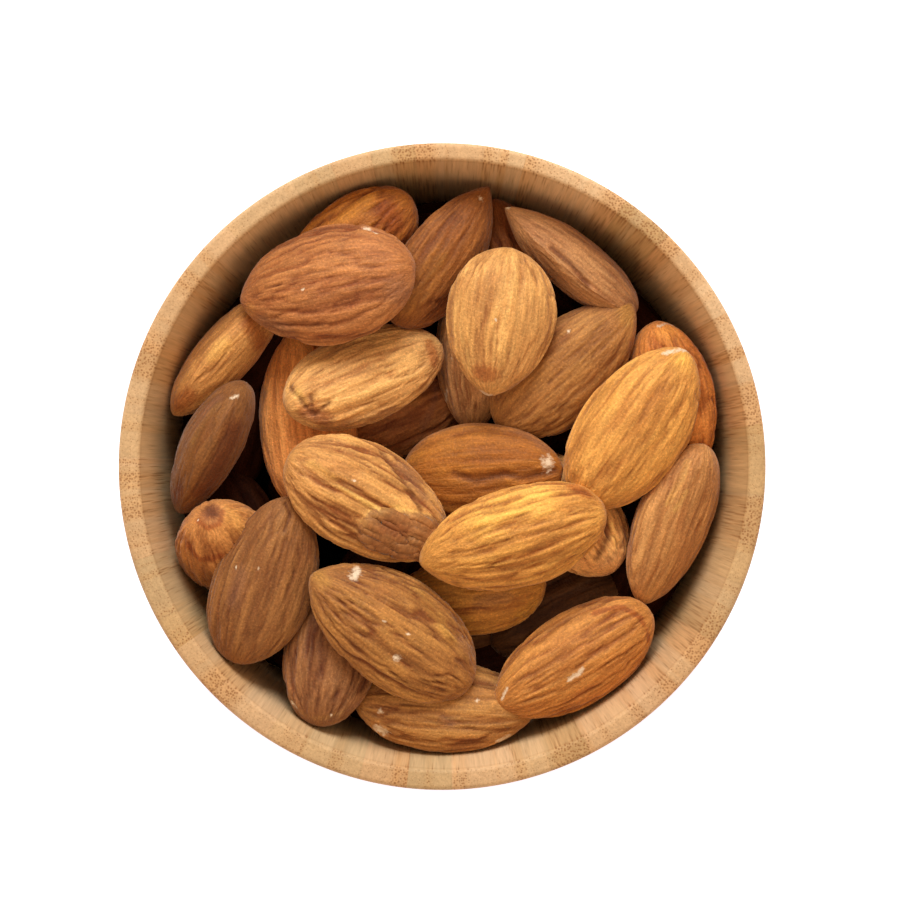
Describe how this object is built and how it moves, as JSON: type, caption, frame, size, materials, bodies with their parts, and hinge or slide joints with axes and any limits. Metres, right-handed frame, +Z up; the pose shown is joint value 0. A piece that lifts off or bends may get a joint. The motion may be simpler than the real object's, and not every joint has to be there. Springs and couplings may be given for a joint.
{
  "type": "bowl of almonds",
  "caption": "Small round bamboo bowl, thick-walled with a flat rim, heaped to the brim with whole brown-skinned almonds.",
  "frame": {"origin": "centre of the bowl's flat base, on the surface that it stands on", "axes": "+Z up along the bowl's axis; +Y is the top of the picture, which looks straight down"},
  "size_m": [0.088, 0.088, 0.0425],
  "materials": {
    "bamboo": "satin lacquered bamboo",
    "almond_skin": "dry wrinkled brown skin"
  },
  "bodies": {
    "root": {"bowl": "bamboo", "almond_heap": "almond_skin"}
  },
  "joints": []
}
